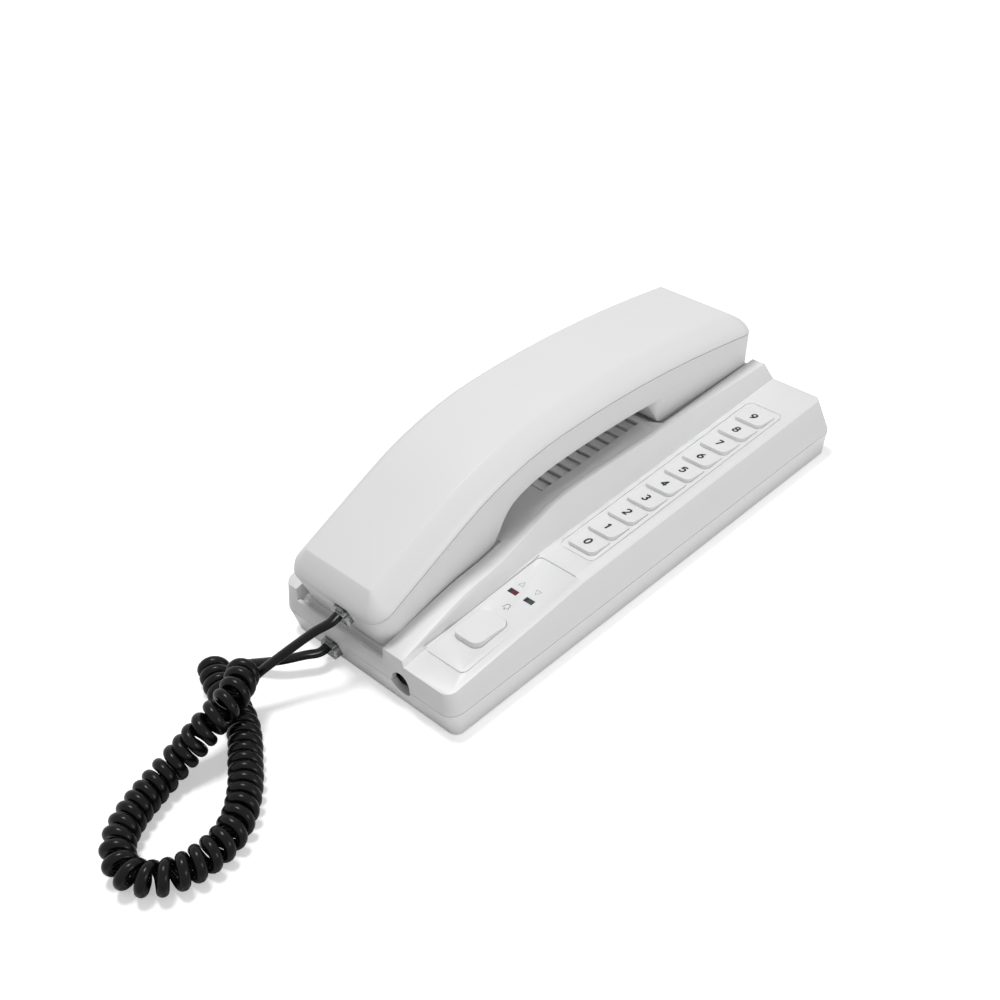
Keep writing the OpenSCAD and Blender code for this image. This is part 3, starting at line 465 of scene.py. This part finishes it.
def diffuser(name, tint, left):
    """A ribbed diffuser, with painted shade in near-black over its left third."""
    material, at = blank(name)
    ribs = at.node("ShaderNodeTexWave", {"wave_type": "BANDS", "bands_direction": "X"},
                   {"Vector": at, "Scale": 600})
    lit = at.node("ShaderNodeSeparateXYZ", {}, {"Vector": at}) > (left + painted_shade_width) * mm
    dim = tuple(c * 0.7 for c in tint) + (1,)
    ribbed_tint = between(ribs, dim, tint + (1,))
    # Left of that line the colour is painted shade, a near-black in place of the ribbed tint.
    surface(between(lit, (0.014, 0.015, 0.015, 1), ribbed_tint), 0.3 + ribs * 0.1, ribs, 2e-5)
    return material


coat(nodes["led_transmit"].data, diffuser("red_diffuser", (0.11, 0.004, 0.010), 26.0))
coat(nodes["led_receive"].data, diffuser("green_diffuser", (0.040, 0.062, 0.055), 34.4))

# ---------------------------------------------------------------- signs in the plate
# Fine grey outlines, printed with a pad: one triangle above each light, out for
# speaking and in for hearing, and a bell above the call button.
pale_ink, at = blank("grey_ink")
speck = speckle(at, 4000, 2)
surface(between(speck, grey(0.16), grey(0.24)), 0.5 + speck * 0.2, speck, 4e-6)
plate_low_edge, plate_low_height = -97.5, 22.6
plate_rise = 3 / 60


def plate_height(y):
    """Height of the call plate above the wall."""
    return plate_low_height + plate_rise * (y - plate_low_edge)


triangle = arc(0, 0, 1.5, 1.5, 90, 450)[::4]
bell = ([(-1.5, -0.75), (-1.1, -0.3)] + arc(0, 0.35, 1.0, 1.15, 180, 0)
        + [(1.1, -0.3), (1.5, -0.75), (-1.5, -0.75)])
clapper = arc(0, -1.35, 0.18, 0.18, 0, 360)
half_outline, outline_height = 0.16, 0.015
for name, lines, x, y, turned in (
        ("sign_out", [triangle], 28.3, -52.4, 0),
        ("sign_in", [triangle], 36.0, -51.8, math.pi),
        ("sign_bell", [bell, clapper], 32.0, -64.2, 0)):
    place = (x, y, plate_height(y) + outline_height)
    printed(name, lines, half_outline, place, math.atan(plate_rise), turned,
            pale_ink, "base")

# ---------------------------------------------------------------- inside parts
# Bought parts and rubber mouldings, each in its own plain finish: mats, pads and
# feet in grey rubber, jacks, switch and speakers in black plastic, screws, spring
# and weight in plated steel, and a board with a green mask over its tracks.
rubber = moulded("grey_rubber", (0.22, 0.225, 0.235), 0.7, 1800, 1.5e-5)
for name in ("keypad_mat", "call_button_pad", "rubber_feet"):
    coat(nodes[name].data, rubber)
black = moulded("black_moulding", (0.018, 0.018, 0.02), 0.48, 2200, 1.2e-5)
for name in ("ringer_speaker", "hook_switch", "dc_jack", "base_cord_jack",
             "handset_cord_jack", "earpiece_speaker"):
    coat(nodes[name].data, black)

zinc, at = blank("zinc_plated_steel")
drawn = at.node("ShaderNodeMapping", {}, {"Vector": at, "Scale": (300, 300, 6000)})
scratch = speckle(drawn, 1.0, 3)
surface(between(scratch, (0.55, 0.56, 0.58, 1), (0.72, 0.73, 0.74, 1)), 0.24 + scratch * 0.2,
        scratch, 6e-6, Metallic=1.0)
for name in ("housing_screws", "handset_screws", "hook_spring", "handset_weight", "microphone"):
    coat(nodes[name].data, zinc)

mask, at = blank("solder_mask")
tracks = at.node("ShaderNodeTexBrick", {}, {
    "Vector": at, "Color1": grey(0), "Color2": grey(0), "Mortar": grey(1), "Scale": 260,
    "Mortar Size": 0.03, "Brick Width": 0.9, "Row Height": 0.35}, 1)
surface(between(tracks, (0.012, 0.10, 0.035, 1), (0.03, 0.2, 0.08, 1)), 0.3 + tracks * 0.1,
        tracks, 3e-5, Coat_Weight=0.3)
coat(nodes["circuit_board"].data, mask)

# ---------------------------------------------------------------- modular plugs
# Clear plugs, pushed into black jacks until they latch. The flat end of the cord
# runs on inside each plug, where it shows through the clear moulding.
clear, at = blank("clear_moulding")
flow = speckle(at, 500, 3)
surface(between(flow, (0.86, 0.88, 0.9, 1), (0.95, 0.96, 0.97, 1)), 0.08 + flow * 0.1,
        flow, 2e-5, Transmission_Weight=0.85, IOR=1.5)
for name in ("base_plug", "handset_plug"):
    coat(nodes[name].data, clear)


gripped, jacket_edge = 7, 0.9


def cord_end(name, place, lean, body):
    """The stretch of flat cord that a plug grips."""
    bpy.ops.object.select_all(action="DESELECT")
    bpy.ops.mesh.primitive_cube_add(size=1, location=(0, 0, 0))
    end = bpy.context.object
    end.name = name
    end.scale = (2 * lead_half_broad * mm, gripped * mm, 2 * lead_half_thin * mm)
    bpy.ops.object.transform_apply(location=False, rotation=False, scale=True)
    bpy.ops.object.mode_set(mode="EDIT")
    bpy.ops.mesh.select_all(action="SELECT")
    bpy.ops.mesh.bevel(offset=jacket_edge * mm, segments=3, affect="EDGES")
    bpy.ops.object.mode_set(mode="OBJECT")
    end.rotation_euler = (lean, 0, 0)
    end.location = place * mm
    bpy.ops.object.transform_apply(location=True, rotation=True, scale=True)
    end.data.materials.append(jacket)
    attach(end, body)


cord_end("cord_end_handset", plug_a - out_a * plug_out, mouth_lean, "handset")
cord_end("cord_end_base", plug_b + Vector((0, plug_out, 0)), 0, "base")

# ---------------------------------------------------------------- floor and light
# A plain pale floor, which the camera sees a little lighter than the lamps make it,
# a white surround, and two soft boxes: one nearly overhead, one from the side.
bpy.ops.object.select_all(action="DESELECT")
below_feet = -0.0002
bpy.ops.mesh.primitive_plane_add(size=8, location=(0, 0, below_feet))
floor = bpy.context.object
floor.name = "floor"
pale, at = blank("pale_floor")
seen = at.node("ShaderNodeLightPath", {}, {}, "Is Camera Ray")
cloth = speckle(at, 30, 3)
matte = at.node("ShaderNodeBsdfDiffuse", {}, {"Color": between(cloth, grey(0.90), grey(0.92))})
camera_glow = 0.42
glow = at.node("ShaderNodeEmission", {}, {"Color": grey(1), "Strength": seen * camera_glow})
both = at.node("ShaderNodeAddShader", {}, {0: matte, 1: glow})
at.node("ShaderNodeOutputMaterial", {}, {"Surface": both})
floor.data.materials.append(pale)

world = bpy.data.worlds.new("surround")
bpy.context.scene.world = world
world.use_nodes = True
world.node_tree.nodes.clear()
start = Wire(world.node_tree)
rays = start.node("ShaderNodeLightPath", {}, {}, "Is Camera Ray")
glossy = start.node("ShaderNodeLightPath", {}, {}, "Is Glossy Ray")
passed = start.node("ShaderNodeLightPath", {}, {}, "Is Transmission Ray")
soft_strength = 0.33
direct = start.node("ShaderNodeMath", {"operation": "ADD", "use_clamp": True},
                    {0: rays + glossy, 1: passed})
soft_light = start.node("ShaderNodeBackground", {}, {"Color": grey(1), "Strength": soft_strength})
backdrop = start.node("ShaderNodeBackground", {}, {"Color": grey(1), "Strength": 1.0})
mixed = start.node("ShaderNodeMixShader", {}, {0: direct, 1: soft_light, 2: backdrop})
start.node("ShaderNodeOutputWorld", {}, {"Surface": mixed})


def lamp(name, place, aim, width, watts):
    """A square soft box on a stand."""
    way = Vector(aim) - Vector(place)
    bpy.ops.object.light_add(type="AREA", location=place,
                             rotation=way.to_track_quat("-Z", "Y").to_euler())
    box = bpy.context.object
    box.name = name
    box.data.shape, box.data.size = "SQUARE", width
    box.data.energy = watts


lamp("key_box", (-0.18, -0.02, 1.25), (0, -0.05, 0.03), 0.3, 8.7)
lamp("side_box", (1.2, 0.1, 0.45), (0, -0.02, 0.03), 0.35, 3.6)
bpy.context.scene.view_settings.view_transform = "Standard"
